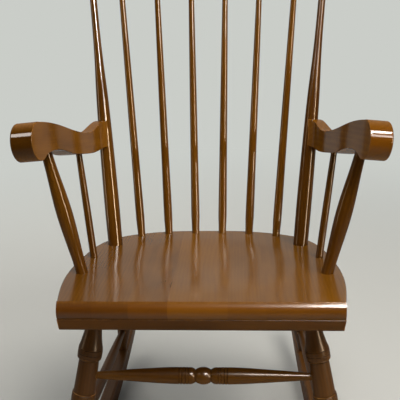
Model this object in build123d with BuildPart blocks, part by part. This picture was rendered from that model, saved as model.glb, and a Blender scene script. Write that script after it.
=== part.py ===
from build123d import *
from math import atan2, cos, radians, sin, sqrt
import os

# A spindle-back rocking chair with scroll arms, in millimetres.
# X runs across the chair, +Y to its back, +Z up. The origin lies on the floor, midway
# along the rockers. Each piece is a solid of its own; round ends stand in bored sockets.

# ---------------------------------------------------------------- driving dimensions
glue_gap = 0.05             # left around each glued round end
socket_relief = 1           # a socket is this much deeper than the end it holds
collar = 5                  # a round end stays straight this far outside its socket
socket_overrun = 14         # a cutter goes on this far outside its mouth
overlap = 1                 # a cutting shape runs this far past what it cuts
ring_width = 1.5            # half width of the fine grooves cut round the turnings
ring_depth = 0.9

# Rockers
rocker_radius = 1080        # curve of the underside
rocker_top_radius = 1440    # flatter curve on top, so the rocker thins to its tips
rocker_height = 46          # at the balance point
rocker_width = 26
rocker_front_reach = 341    # along the rocker, from the balance point to the front tip
rocker_rear_reach = 439
rocker_edge_round = 4
rocker_tip_round = 10
balance_y = -49             # where the empty chair stands on its rockers

# Seat: a board glued up from staves, and a strip that thickens its front edge
seat_height = 423           # top of the front edge above the floor
seat_slope = 3.9            # degrees, falling to the back
seat_front_y = -312
seat_front_width = 467
seat_width = 494
seat_depth = 445
seat_thickness = 29.5
widest_back = 135           # from the front edge to the widest place
side_flare = 0.16           # slope of the sides outwards at the front corners
shoulder_insets = [(12, 172), (60, 52), (150, 8)]   # each from the side and from the back
seat_top_round = 3.5
seat_under_round = 7
stave_joints = [-176, -117, -53, 44, 106, 176]      # glue joints, across from the middle
dish_radius = 196
dish_depth = 6
dish_rim = 0.3              # its outline ends this far above the seat, so its edge dies away
dish_back = 212             # middle of the dish, from the front edge
nose_bulge = 9.5
nose_bulge_drop = 14        # how far below the top the nosing stands out most
nose_foot = 4               # how far the foot of the nosing stands out
nose_arris = 1.8            # rounding where the seat's top turns over into the nosing
roll_depth = 46
roll_thickness = 19.5
roll_proud = 4.8            # it stands out past the front edge of the seat
roll_end_past = 0.8         # its ends stand out past the nosing
roll_end_slope = 3.5        # how much shorter the strip is at its lower edge
roll_round = 5              # at its lower front edge
roll_arris = 1.2            # and at its upper one

# Legs
front_leg_inset = 65.5      # from the side of the seat, at its underside
front_leg_back = 84
front_leg_splay = 58.5      # how much wider the leg stands at its foot
front_foot_y = -262
rear_leg_inset = 79
rear_leg_from_back = 62
rear_leg_splay = 44.5
rear_foot_y = 215
leg_seat_radius = 13.5
leg_seat_depth = 20
leg_foot_radius = 9.5
leg_foot_depth = 26
pin_radius = 3
pin_drop = 13               # along the leg, below the top of the rocker
# The turnings between the two ends of a leg: (distance from the seat, radius)
front_leg_neck = [(48, 14.4), (69, 17.4), (85, 21.2)]
front_leg_upper_bead = [(85, 21.2), (95, 21.7), (105, 21)]
front_leg_barrel = [(108, 17.6), (130, 18.2), (152, 18.8), (170, 19.2)]
front_leg_lower_bead = [(170, 20.8), (181, 21.5), (192, 20.8)]
front_leg_taper = [(195, 17.2), (226, 17.6), (268, 14.6)]
front_leg_rings = (86.5, 95.5, 104, 172, 181, 190)
rear_leg_neck = [(50, 14.6), (92, 18), (110, 19.6)]
rear_leg_upper_bead = [(110, 19.6), (120, 20), (130, 19.6)]
rear_leg_barrel = [(133, 16.8), (165, 17.8), (200, 18.4), (212, 18.8)]
rear_leg_lower_bead = [(212, 18.8), (220, 19.2), (228, 18.8)]
rear_leg_taper = [(231, 16.4), (255, 15.6), (290, 12.4)]
rear_leg_rings = (111.5, 120, 128.5, 213.5, 226.5)

# Stretchers: height of each axis above the floor
front_stretcher_height = 252
side_stretcher_height = 136
rear_stretcher_height = 176
stretcher_end_radius = 6.5
stretcher_setback = 5       # from the axis of the leg to the end of the stretcher
stretcher_tenon = 17        # straight part at each end
socket_mouth = 16           # from the axis of a leg to a place inside its wall
ball_radius = 15.3          # the ball in the middle of the front stretcher
ball_half = 13.6
ball_neck_radius = 10.8     # in the groove beside the ball
shoulder_end = 23
shoulder_radius = 14.7
front_stretcher_taper = [(55, 14.6), (80, 13.5), (110, 11.6), (155, 8.6)]
front_stretcher_rings = (26, 31, 37, 42)
side_stretcher_radius = 10.5
side_stretcher_rings = (-9, 9)
rear_stretcher_radius = 12
rear_stretcher_rings = (-12, 0, 12)
swell_place = 0.55          # share of the way to the end, where a plain stretcher thins
swell_share = 0.88          # and its share of the full radius there

# Back: two posts and the spindles between them, under a bent crest rail
post_inset = 60
post_from_back = 107
post_seat_radius = 14.4
post_seat_depth = 21
post_splay = 50             # how much wider the posts stand at the crest rail
post_top_radius = 6.8
post_past_head = 14         # and the end goes on past this place into the crest rail
spindle_count = 6
spindle_pitch = 56.5        # at the seat
spindle_top_pitch = 72.5    # at the crest rail
spindle_arc_radius = 424    # the feet stand on this arc
spindle_margin = 16         # from the arc to the back edge of the seat
spindle_lean = 101
spindle_seat_radius = 7.9
spindle_seat_depth = 20
spindle_top_radius = 5.9
spindle_past_head = 3
back_rise = 532             # above the seat, where the lean is measured
# The turnings above the seat: (distance, radius)
post_taper = [(95, 15), (175, 14.3), (255, 13.1), (322, 11.2), (362, 9.4), (405, 8), (470, 7.2)]
spindle_taper = [(40, 8.8), (140, 8.2), (270, 7.5), (400, 6.6)]
crest_radius = 440
crest_lean = 11.5           # degrees back from square to the seat
crest_thickness = 22
crest_overhang = 31         # past the heads of the posts
crest_drop = 22             # of its lower edge below back_rise
crest_rise = 86             # of its crown above back_rise
crest_ear_rise = 52
crest_edge_round = 5
crest_corner_round = 30
crest_ear_round = 18
crest_socket_overrun = 60   # so that the mouth of a socket clears the rail's lower edge

# Arms: flat-sided scrolls sawn from thick stock, passing outside the posts
arm_cant = 6                # degrees, the tops of the arms lean outwards
arm_front_overhang = 18.5   # its inner face at the front stands out past the seat
arm_front_back = 60
arm_rear_inset = 35         # its inner face is this far over the seat at its rear end,
arm_rear_from_back = 65     # which lies this far from the back of the seat
arm_width = 39
arm_drawn_in = [(175, 0), (215, 3.5), (255, 10.5), (300, 15)]   # along, and less of its width
arm_tail_drawn_in = 16
arm_edge_round = 3          # round the outer face
arm_arris = 1.2             # and round the inner one
arm_flare = 10              # how far the rear end widens inwards against the post
arm_flare_length = 34
arm_tail = 19               # behind the axis of the post
arm_tail_round = 9
arm_screw_rise = 220
scroll_radius = 32.5
scroll_rise = 251           # its centre above the seat
scroll_back = 12            # and behind the start of the arm
scroll_top_turn = 74        # degrees round the scroll, where the arm's top leaves it
scroll_under_turn = -58
# The sides of the arm: (distance back from its start, rise above the seat)
arm_top = [
    (70, 274.5), (110, 265), (150, 253.5), (190, 243), (225, 236), (258, 233.5), (292, 239.5)
]
arm_under = [
    (300, 193), (262, 192), (225, 195.5), (187, 201), (150, 208), (118, 218), (88, 225)
]
arm_tail_top = 244
arm_tail_foot = 199
flare_turn = 0.3            # slope of the flare where it meets the post

arm_post_inset = 27
arm_post_back = 151
arm_post_along = 82         # where it meets the arm, measured along the arm
arm_post_rise = 225
arm_post_out = 23.5         # from the inner face
arm_post_radius = 10.4
arm_post_top_radius = 9.6
arm_post_belly_radius = 14.2
arm_post_ankle = 30         # from each end of the belly's curve to the end of the post
arm_post_ankle_radius = 11
arm_post_neck_radius = 10.3
arm_spindle_inset = 32
arm_spindle_back = 246
arm_spindle_along = 224
arm_spindle_rise = 195
arm_spindle_out = 20
arm_spindle_radius = 6.8
arm_spindle_top_radius = 5.8
arm_spindle_middle_radius = 6.8
arm_spindle_neck = 20
arm_spindle_neck_radius = 6
arm_socket_depth = 17
arm_socket_overrun = 16     # so that the mouth of a socket clears the curve of the arm
arm_support_depth = 19      # sockets in the seat

screw_head_radius = 4.4
screw_head_height = 2.6
screw_shank_radius = 2.1
screw_into_post = 14
screw_clearance = 0.2
plug_radius = 5
plug_depth = 4

os.makedirs("parts", exist_ok=True)


# ---------------------------------------------------------------- helpers
def axis_plane(start, end):
    """A plane with its origin at start, X along the axis to end and Y as a radius."""
    along = (end - start).normalized()
    across = Vector(1, 0, 0) if abs(along.Y) > abs(along.X) + abs(along.Z) else Vector(0, 1, 0)
    return Plane(origin=start, x_dir=along, z_dir=along.cross(across))


def beyond(start, end, distance):
    """The place on the axis a distance outside start, on the side away from end."""
    return start - (end - start).normalized() * distance


def turn(plane, parts, start_depth, end_depth, mode=Mode.ADD):
    """Turn a piece round the plane's X axis, with a straight round end at each end.

    Each part of its outline is a list of (distance, radius): a line through two of them,
    a smooth curve through more. A step joins one part to the next.
    """
    stations = [station for part in parts for station in part]
    first, last = stations[0], stations[-1]
    with BuildSketch(plane) as outline:
        with BuildLine():
            for part in parts:
                if len(part) > 2:
                    Spline(*part)
                else:
                    Line(*part)
            for before, after in zip(parts, parts[1:]):
                if before[-1] != after[0]:
                    Line(before[-1], after[0])
            Polyline(
                last,
                (last[0] + end_depth, last[1]),
                (last[0] + end_depth, 0),
                (first[0] - start_depth, 0),
                (first[0] - start_depth, first[1]),
                first,
            )
        make_face()
    revolve(outline.sketch, axis=Axis(plane.origin, plane.x_dir), mode=mode)


def radius_at(parts, distance):
    """Radius of a turning between two of its stations."""
    stations = [station for part in parts for station in part]
    for (d0, r0), (d1, r1) in zip(stations, stations[1:]):
        if d0 <= distance <= d1 and d1 > d0:
            return r0 + (r1 - r0) * (distance - d0) / (d1 - d0)
    return stations[-1][1]


def hollow(parts):
    """The same outline with room for glue."""
    return [[(distance, radius + glue_gap) for distance, radius in part] for part in parts]


def cut_rings(plane, parts, places):
    """Cut fine V grooves round a turning at the given distances along its axis."""
    for place in places:
        rim = radius_at(parts, place)
        with BuildSketch(plane) as groove:
            with BuildLine():
                Polyline(
                    (place - ring_width, rim + ring_depth),
                    (place, rim - ring_depth),
                    (place + ring_width, rim + ring_depth),
                    close=True,
                )
            make_face()
        revolve(groove.sketch, axis=Axis(plane.origin, plane.x_dir), mode=Mode.SUBTRACT)


def bore(mouth, far_end, radius, depth, overrun=socket_overrun):
    """Cut a socket that opens at mouth and runs away from far_end."""
    bottom = beyond(mouth, far_end, depth + socket_relief)
    with BuildSketch(Plane(origin=bottom, z_dir=far_end - mouth)) as opening:
        Circle(radius + glue_gap)
    extrude(opening.sketch, amount=depth + socket_relief + overrun, mode=Mode.SUBTRACT)


def keep(piece, name):
    """Label a piece and write it to a file of its own."""
    piece.part.label = name
    export_step(piece.part, f"parts/{name}.step")


def keep_pair(piece, name):
    """Write a right-hand piece and its mirror image."""
    keep(piece, f"{name}_right")
    with BuildPart() as left:
        mirror(piece.part, about=Plane.YZ)
    keep(left, f"{name}_left")


# ---------------------------------------------------------------- frames and axes
slope = radians(seat_slope)
seat_plane = Plane(
    origin=(0, seat_front_y, seat_height), x_dir=(1, 0, 0), z_dir=(0, sin(slope), cos(slope))
)
half_seat = seat_width / 2
front_foot_x = half_seat - front_leg_inset + front_leg_splay
rear_foot_x = half_seat - rear_leg_inset + rear_leg_splay
post_head_x = half_seat - post_inset + post_splay
crest_half_width = post_head_x + crest_overhang
arm_front_x = half_seat + arm_front_overhang
arm_rear_x = half_seat - arm_rear_inset


def on_seat(across, back, rise=0):
    """A place measured from the middle of the seat's front edge."""
    return seat_plane.from_local_coords(Vector(across, back, rise))


def sag(radius, across):
    """How far an arc of this radius falls away from its crown."""
    return radius - sqrt(radius**2 - across**2)


# Rockers: X runs back along the rocker from the balance point, Y up.
rocker_toe = atan2(rear_foot_x - front_foot_x, rear_foot_y - front_foot_y)
rocker_slant = (rear_foot_x - front_foot_x) / (rear_foot_y - front_foot_y)
rocker_plane = Plane(
    origin=(front_foot_x + rocker_slant * (balance_y - front_foot_y), balance_y, 0),
    x_dir=(sin(rocker_toe), cos(rocker_toe), 0),
    z_dir=(cos(rocker_toe), -sin(rocker_toe), 0),
)


def rocker_under(along):
    return sag(rocker_radius, along)


def rocker_over(along):
    return rocker_height + sag(rocker_top_radius, along)


def on_rocker(y):
    """The place on top of the rocker at this y."""
    along = (y - balance_y) / cos(rocker_toe)
    return rocker_plane.from_local_coords(Vector(along, rocker_over(along), 0))


front_leg_top = on_seat(half_seat - front_leg_inset, front_leg_back, -seat_thickness)
front_leg_foot = on_rocker(front_foot_y)
rear_leg_top = on_seat(half_seat - rear_leg_inset, seat_depth - rear_leg_from_back, -seat_thickness)
rear_leg_foot = on_rocker(rear_foot_y)


def at_height(top, foot, height):
    """Where an axis crosses a height above the floor."""
    return top + (foot - top) * ((top.Z - height) / (top.Z - foot.Z))


sides = (1, -1)


def mirrored(place, side):
    return Vector(place.X * side, place.Y, place.Z)


def other_side(place):
    return mirrored(place, -1)


# Crest rail: its own frame leans back with the spindles.
lean = slope + radians(crest_lean)
spindle_apex = seat_depth - spindle_margin
crest_plane = Plane(
    origin=on_seat(0, spindle_apex + spindle_lean, back_rise),
    x_dir=(1, 0, 0),
    z_dir=(0, sin(lean), cos(lean)),
)


def in_crest(across):
    """A place in the middle of the crest rail's thickness."""
    return crest_plane.from_local_coords(Vector(across, -sag(crest_radius, across), 0))


post_foot = on_seat(half_seat - post_inset, seat_depth - post_from_back)
post_head = in_crest(post_head_x)
spindle_axes = []
for number in range(spindle_count):
    place = number - (spindle_count - 1) / 2
    across = place * spindle_pitch
    foot = on_seat(across, spindle_apex - sag(spindle_arc_radius, across))
    spindle_axes.append((foot, in_crest(place * spindle_top_pitch)))

# Arms: X runs back along the inner face, Y up it and Z outwards. The face leans outwards
# about a line at the height of the scroll's centre.
scroll_line = on_seat(arm_front_x, arm_front_back, scroll_rise)
arm_along = (on_seat(arm_rear_x, seat_depth - arm_rear_from_back, scroll_rise) - scroll_line).normalized()
level_out = arm_along.cross(seat_plane.z_dir)
cant = radians(arm_cant)
arm_up = seat_plane.z_dir * cos(cant) + level_out * sin(cant)
arm_start = scroll_line - arm_up * scroll_rise
arm_plane = Plane(origin=arm_start, x_dir=arm_along, z_dir=arm_along.cross(arm_up))


def in_arm(along, rise, outward):
    return arm_plane.from_local_coords(Vector(along, rise, outward))


arm_post_foot = on_seat(half_seat - arm_post_inset, arm_post_back)
arm_post_head = in_arm(arm_post_along, arm_post_rise, arm_post_out)
arm_spindle_foot = on_seat(half_seat - arm_spindle_inset, arm_spindle_back)
arm_spindle_head = in_arm(arm_spindle_along, arm_spindle_rise, arm_spindle_out)

# The post in the arm's frame.
post_in_arm_foot = arm_plane.to_local_coords(post_foot)
post_in_arm_head = arm_plane.to_local_coords(post_head)
post_climb = (post_in_arm_head - post_in_arm_foot) / (post_in_arm_head.Y - post_in_arm_foot.Y)


def post_in_arm(rise):
    return post_in_arm_foot + post_climb * (rise - post_in_arm_foot.Y)


post_at_arm = post_in_arm(arm_screw_rise)
post_rake = (arm_plane.x_dir * post_climb.X + arm_plane.y_dir).normalized()

# ---------------------------------------------------------------- rockers
def pin_plane(top, foot):
    """Across the rocker, where its pin goes through the end of a leg."""
    return Plane(origin=beyond(foot, top, pin_drop), z_dir=rocker_plane.z_dir)


def pin_hole(top, foot):
    with BuildSketch(pin_plane(top, foot)) as opening:
        Circle(pin_radius + glue_gap)
    extrude(opening.sketch, amount=rocker_width, both=True, mode=Mode.SUBTRACT)


legs = ((front_leg_top, front_leg_foot), (rear_leg_top, rear_leg_foot))
with BuildPart() as rocker:
    with BuildSketch(rocker_plane) as rocker_side:
        with BuildLine():
            front, rear = -rocker_front_reach, rocker_rear_reach
            under_front = (front, rocker_under(front))
            over_front = (front, rocker_over(front))
            under_rear = (rear, rocker_under(rear))
            over_rear = (rear, rocker_over(rear))
            ThreePointArc(under_front, (0, 0), under_rear)
            Line(under_rear, over_rear)
            ThreePointArc(over_rear, (0, rocker_height), over_front)
            Line(over_front, under_front)
        make_face()
        fillet(rocker_side.vertices(), rocker_tip_round)
    extrude(amount=rocker_width / 2, both=True)
    long_edges = rocker.faces().filter_by(GeomType.PLANE).sort_by(SortBy.AREA)[-2:].edges()
    fillet(long_edges, rocker_edge_round)
    for top, foot in legs:
        bore(foot, top, leg_foot_radius, leg_foot_depth)
        pin_hole(top, foot)
keep_pair(rocker, "rocker")

with BuildPart() as rocker_pins:
    for top, foot in legs:
        with BuildSketch(pin_plane(top, foot)):
            Circle(pin_radius)
    extrude(amount=rocker_width / 2, both=True)
    mirror(about=Plane.YZ)
keep(rocker_pins, "rocker_pins")

# ---------------------------------------------------------------- legs
front_leg_length = (front_leg_foot - front_leg_top).length
front_leg_parts = [
    [(collar, leg_seat_radius), *front_leg_neck],
    front_leg_upper_bead,
    front_leg_barrel,
    front_leg_lower_bead,
    [*front_leg_taper, (front_leg_length - collar, leg_foot_radius)],
]
rear_leg_length = (rear_leg_foot - rear_leg_top).length
rear_leg_parts = [
    [(collar, leg_seat_radius), *rear_leg_neck],
    rear_leg_upper_bead,
    rear_leg_barrel,
    rear_leg_lower_bead,
    [*rear_leg_taper, (rear_leg_length - collar, leg_foot_radius)],
]


def leg_socket(leg_axis_place, other_end):
    """Socket across a leg for the end of a stretcher."""
    mouth = beyond(leg_axis_place, other_end, -socket_mouth)
    bore(mouth, other_end, stretcher_end_radius, socket_mouth - stretcher_setback)


front_high = at_height(front_leg_top, front_leg_foot, front_stretcher_height)
front_low = at_height(front_leg_top, front_leg_foot, side_stretcher_height)
rear_high = at_height(rear_leg_top, rear_leg_foot, rear_stretcher_height)
rear_low = at_height(rear_leg_top, rear_leg_foot, side_stretcher_height)

with BuildPart() as front_leg:
    front_leg_plane = axis_plane(front_leg_top, front_leg_foot)
    turn(front_leg_plane, front_leg_parts, leg_seat_depth + collar, leg_foot_depth + collar)
    cut_rings(front_leg_plane, front_leg_parts, front_leg_rings)
    leg_socket(front_high, other_side(front_high))
    leg_socket(front_low, rear_low)
    pin_hole(front_leg_top, front_leg_foot)
keep_pair(front_leg, "front_leg")

with BuildPart() as rear_leg:
    rear_leg_plane = axis_plane(rear_leg_top, rear_leg_foot)
    turn(rear_leg_plane, rear_leg_parts, leg_seat_depth + collar, leg_foot_depth + collar)
    cut_rings(rear_leg_plane, rear_leg_parts, rear_leg_rings)
    leg_socket(rear_high, other_side(rear_high))
    leg_socket(rear_low, front_low)
    pin_hole(rear_leg_top, rear_leg_foot)
keep_pair(rear_leg, "rear_leg")

# ---------------------------------------------------------------- stretchers
def stretcher_plane(start, end):
    """A plane along a stretcher with its origin at the middle."""
    return axis_plane((start + end) / 2, end)


front_half = (other_side(front_high) - front_high).length / 2 - stretcher_setback
front_visible = front_half - stretcher_tenon
with BuildPart() as front_stretcher:
    front_plane = stretcher_plane(other_side(front_high), front_high)
    with BuildSketch(front_plane):
        with BuildLine() as half_outline:
            TangentArc((0, ball_radius), (ball_half, ball_neck_radius), tangent=(1, 0))
            TangentArc(
                (shoulder_end, shoulder_radius),
                (ball_half, ball_neck_radius),
                tangent=(-1, 0),
            )
            Spline(
                (shoulder_end, shoulder_radius),
                *front_stretcher_taper,
                (front_visible, stretcher_end_radius),
            )
            Line((front_visible, stretcher_end_radius), (front_half, stretcher_end_radius))
            Line((front_half, stretcher_end_radius), (front_half, 0))
            Line((front_half, 0), (0, 0))
            mirror(about=Plane.YZ)
        make_face()
    revolve(axis=Axis(front_plane.origin, front_plane.x_dir))
    for direction in sides:
        ring_places = [direction * place for place in front_stretcher_rings]
        ring_band = [[(-front_half, shoulder_radius), (front_half, shoulder_radius)]]
        cut_rings(front_plane, ring_band, ring_places)
keep(front_stretcher, "front_stretcher")


def plain_stretcher(start, end, thickest, ring_places):
    """A stretcher swelling to its middle, with rings at the given distances from the middle."""
    half = (end - start).length / 2 - stretcher_setback
    visible = half - stretcher_tenon
    shape = [
        [
            (-visible, stretcher_end_radius),
            (-visible * swell_place, thickest * swell_share),
            (0, thickest),
            (visible * swell_place, thickest * swell_share),
            (visible, stretcher_end_radius),
        ]
    ]
    plane = stretcher_plane(start, end)
    with BuildPart() as stretcher:
        turn(plane, shape, stretcher_tenon, stretcher_tenon)
        cut_rings(plane, shape, ring_places)
    return stretcher


rear_stretcher = plain_stretcher(
    other_side(rear_high), rear_high, rear_stretcher_radius, rear_stretcher_rings
)
keep(rear_stretcher, "rear_stretcher")
side_stretcher = plain_stretcher(front_low, rear_low, side_stretcher_radius, side_stretcher_rings)
keep_pair(side_stretcher, "side_stretcher")

# ---------------------------------------------------------------- seat
seat_outline = [
    (half_seat, widest_back),
    *[(half_seat - aside, seat_depth - ahead) for aside, ahead in shoulder_insets],
    (0, seat_depth),
]
front_corner = (seat_front_width / 2, 0)


with BuildPart() as seat:
    with BuildSketch(seat_plane) as plan:
        with BuildLine() as half_plan:
            Spline(front_corner, *seat_outline, tangents=[(side_flare, 1), (-1, 0)])
            Line((0, seat_depth), (0, 0))
            Line((0, 0), front_corner)
        make_face()
        mirror(about=Plane.YZ)
    extrude(amount=-seat_thickness)
    rims = seat.edges().filter_by(GeomType.BSPLINE).sort_by(Axis(seat_plane.origin, seat_plane.z_dir))
    fillet(rims[-1], seat_top_round)
    fillet(rims[0], seat_under_round)
    nose_plane = Plane(origin=seat_plane.origin, x_dir=seat_plane.y_dir, z_dir=(1, 0, 0))
    with BuildSketch(nose_plane) as nose:
        with BuildLine():
            turnover = (-nose_arris, -nose_arris / 2)
            TangentArc((0, 0), turnover, tangent=(-1, 0))
            ThreePointArc(turnover, (-nose_bulge, -nose_bulge_drop), (-nose_foot, -seat_thickness))
            Polyline((-nose_foot, -seat_thickness), (overlap, -seat_thickness), (overlap, 0), (0, 0))
        make_face()
    extrude(amount=seat_front_width / 2, both=True)
    # A shallow round dish that runs out level at its rim.
    dish_plane = Plane(
        origin=on_seat(0, dish_back), x_dir=(1, 0, 0), z_dir=Vector(1, 0, 0).cross(seat_plane.z_dir)
    )
    with BuildSketch(dish_plane):
        with BuildLine():
            Spline((0, -dish_depth), (dish_radius, dish_rim), tangents=[(1, 0), (1, 0)])
            Polyline((dish_radius, dish_rim), (dish_radius, dish_depth), (0, dish_depth))
            Line((0, dish_depth), (0, -dish_depth))
        make_face()
    revolve(axis=Axis(dish_plane.origin, seat_plane.z_dir), mode=Mode.SUBTRACT)
    for side in sides:
        for top, foot in legs:
            bore(mirrored(top, side), mirrored(foot, side), leg_seat_radius, leg_seat_depth)
        for foot, head, radius, depth in (
            (post_foot, post_head, post_seat_radius, post_seat_depth),
            (arm_post_foot, arm_post_head, arm_post_radius, arm_support_depth),
            (arm_spindle_foot, arm_spindle_head, arm_spindle_radius, arm_support_depth),
        ):
            bore(mirrored(foot, side), mirrored(head, side), radius, depth)
    for foot, head in spindle_axes:
        bore(foot, head, spindle_seat_radius, spindle_seat_depth)

stave_sides = [-seat_width, *stave_joints, seat_width]
for number, (left_side, right_side) in enumerate(zip(stave_sides, stave_sides[1:]), start=1):
    with BuildPart() as stave:
        add(seat.part)
        with BuildSketch(seat_plane):
            with Locations(((left_side + right_side) / 2, seat_depth / 2)):
                Rectangle(right_side - left_side, seat_depth * 2)
        extrude(amount=seat_thickness * 2, both=True, mode=Mode.INTERSECT)
    keep(stave, f"seat_stave_{number}")

with BuildPart() as seat_roll:
    roll_half = seat_front_width / 2 + roll_end_past
    under_seat = Plane(
        origin=on_seat(0, 0, -seat_thickness), x_dir=seat_plane.x_dir, z_dir=-seat_plane.y_dir
    )
    with BuildSketch(under_seat.offset(roll_proud)):
        with BuildLine():
            Polyline(
                (-roll_half, 0),
                (roll_half, 0),
                (roll_half - roll_end_slope, -roll_thickness),
                (-roll_half + roll_end_slope, -roll_thickness),
                close=True,
            )
        make_face()
    extrude(amount=-roll_depth)
    front_edges = seat_roll.faces().sort_by(Axis.Y)[0].edges().sort_by(Axis.Z)
    fillet(front_edges[-1], roll_arris)
    front_edges = seat_roll.faces().sort_by(Axis.Y)[0].edges().sort_by(Axis.Z)
    fillet(front_edges[0], roll_round)
keep(seat_roll, "seat_front_roll")

# ---------------------------------------------------------------- back posts and spindles
post_plane = axis_plane(post_foot, post_head)
post_visible = (post_head - post_foot).length - crest_drop - collar
post_parts = [[(collar, post_seat_radius), *post_taper, (post_visible, post_top_radius)]]
screw_place = (post_at_arm.X, arm_screw_rise)


def across_arm(radius, outermost, innermost, mode):
    """A round of this radius about the screw's axis, between two distances from the inner face."""
    with BuildSketch(arm_plane.offset(innermost)) as disc:
        with Locations(screw_place):
            Circle(radius)
    extrude(disc.sketch, amount=outermost - innermost, mode=mode)


arm_tail_width = arm_width - arm_tail_drawn_in
screw_seat = arm_tail_width - plug_depth - screw_head_height
screw_tip = post_at_arm.Z + radius_at(post_parts, arm_screw_rise) - screw_into_post

with BuildPart() as post:
    turn(post_plane, post_parts, post_seat_depth + collar, collar + crest_drop + post_past_head)
    across_arm(screw_shank_radius + glue_gap, arm_width, screw_tip - socket_relief, Mode.SUBTRACT)
keep_pair(post, "back_post")

for number, (foot, head) in enumerate(spindle_axes, start=1):
    spindle_visible = (head - foot).length - crest_drop - collar
    spindle_parts = [
        [(collar, spindle_seat_radius), *spindle_taper, (spindle_visible, spindle_top_radius)]
    ]
    with BuildPart() as spindle:
        turn(
            axis_plane(foot, head),
            spindle_parts,
            spindle_seat_depth + collar,
            collar + crest_drop + spindle_past_head,
        )
    keep(spindle, f"spindle_{number}")

# ---------------------------------------------------------------- crest rail
with BuildPart() as crest_rail:
    with BuildSketch(crest_plane.offset(-crest_drop)):
        with Locations((0, -crest_radius)):
            Circle(crest_radius + crest_thickness / 2)
            Circle(crest_radius - crest_thickness / 2, mode=Mode.SUBTRACT)
    extrude(amount=crest_drop + crest_rise)
    crest_front = Plane(origin=crest_plane.origin, x_dir=(1, 0, 0), z_dir=-crest_plane.y_dir)
    with BuildSketch(crest_front):
        with BuildLine():
            corner = (crest_half_width, crest_corner_round - crest_drop)
            corner_foot = (crest_half_width - crest_corner_round, -crest_drop)
            ear = (crest_half_width, crest_ear_rise - crest_ear_round)
            ear_top = (crest_half_width - crest_ear_round, crest_ear_rise)
            Line((0, -crest_drop), corner_foot)
            TangentArc(corner_foot, corner, tangent=(1, 0))
            Line(corner, ear)
            TangentArc(ear, ear_top, tangent=(0, 1))
            Spline(ear_top, (0, crest_rise), tangents=[(-1, 0), (-1, 0)])
            Line((0, crest_rise), (0, -crest_drop))
        make_face()
        mirror(about=Plane.YZ)
    extrude(amount=crest_half_width, both=True, mode=Mode.INTERSECT)
    fillet(crest_rail.edges(), crest_edge_round)
    for side in sides:
        head, foot = mirrored(post_head, side), mirrored(post_foot, side)
        bore(head, foot, post_top_radius, post_past_head, crest_socket_overrun)
    for foot, head in spindle_axes:
        bore(head, foot, spindle_top_radius, spindle_past_head, crest_socket_overrun)
keep(crest_rail, "crest_rail")

# ---------------------------------------------------------------- arms
tail_end = post_at_arm.X + arm_tail


def on_scroll(degrees_round):
    angle = radians(degrees_round)
    return (scroll_back + scroll_radius * cos(angle), scroll_rise + scroll_radius * sin(angle))


with BuildPart() as arm:
    with BuildSketch(arm_plane.offset(-arm_flare)) as arm_side:
        with BuildLine():
            Spline(on_scroll(scroll_top_turn), *arm_top, (tail_end, arm_tail_top))
            Line((tail_end, arm_tail_top), (tail_end, arm_tail_foot))
            Spline((tail_end, arm_tail_foot), *arm_under, on_scroll(scroll_under_turn))
            Line(on_scroll(scroll_under_turn), on_scroll(scroll_top_turn))
        make_face()
        fillet(arm_side.vertices().filter_by_position(Axis.X, tail_end, tail_end), arm_tail_round)
        with Locations((scroll_back, scroll_rise)):
            Circle(scroll_radius)
    extrude(amount=arm_width + arm_flare)
    # Seen from above, the outer face draws in to the back and the inner one flares to meet
    # the post. Both follow the rake of the post.
    arm_plan = Plane(origin=arm_start, x_dir=arm_along, z_dir=-arm_up)
    with BuildSketch(arm_plan) as arm_top_view:
        with BuildLine():
            base = post_in_arm(0)
            behind_post = (base.X + post_top_radius, base.Z + post_seat_radius)
            outer_curve = [
                (along - post_climb.X * scroll_rise, arm_width - less) for along, less in arm_drawn_in
            ]
            tail_corner = (base.X + arm_tail * 2, arm_tail_width)
            Line((-arm_width * 3, 0), (base.X - arm_flare_length, 0))
            Spline(
                (base.X - arm_flare_length, 0),
                (base.X - post_top_radius, -arm_flare),
                tangents=[(1, 0), (1, -flare_turn)],
            )
            Polyline(
                (base.X - post_top_radius, -arm_flare),
                (base.X, base.Z),
                behind_post,
                (tail_corner[0], base.Z + post_seat_radius + overlap),
                tail_corner,
            )
            Spline(*outer_curve, tail_corner, tangents=[(1, 0), (1, 0)])
            Polyline(outer_curve[0], (-arm_width * 3, arm_width), (-arm_width * 3, 0))
        make_face()
    extrude(arm_top_view.sketch, amount=back_rise, dir=post_rake, mode=Mode.INTERSECT)
    outer_faces = arm.faces().sort_by(Axis(arm_start, arm_plane.z_dir))[-2:]
    fillet(outer_faces.edges().filter_by(GeomType.LINE, reverse=True), arm_edge_round)
    inner_face = arm.faces().filter_by(GeomType.PLANE).sort_by(SortBy.AREA)[-1]
    fillet(inner_face.edges().filter_by(GeomType.LINE, reverse=True), arm_arris)
    # A notch round the post, and sockets over the two supports.
    turn(post_plane, hollow(post_parts), collar, collar, Mode.SUBTRACT)
    bore(arm_post_head, arm_post_foot, arm_post_top_radius, arm_socket_depth, arm_socket_overrun)
    bore(
        arm_spindle_head, arm_spindle_foot, arm_spindle_top_radius, arm_socket_depth, arm_socket_overrun
    )
    across_arm(screw_shank_radius + screw_clearance, arm_width, 0, Mode.SUBTRACT)
    across_arm(plug_radius + glue_gap, arm_width + overlap, screw_seat, Mode.SUBTRACT)
keep_pair(arm, "arm")

with BuildPart() as arm_screws:
    across_arm(screw_head_radius, screw_seat + screw_head_height, screw_seat, Mode.ADD)
    across_arm(screw_shank_radius, screw_seat, screw_tip, Mode.ADD)
    mirror(about=Plane.YZ)
keep(arm_screws, "arm_screws")

with BuildPart() as arm_plugs:
    across_arm(plug_radius, arm_tail_width, arm_tail_width - plug_depth, Mode.ADD)
    mirror(about=Plane.YZ)
keep(arm_plugs, "arm_plugs")

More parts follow.
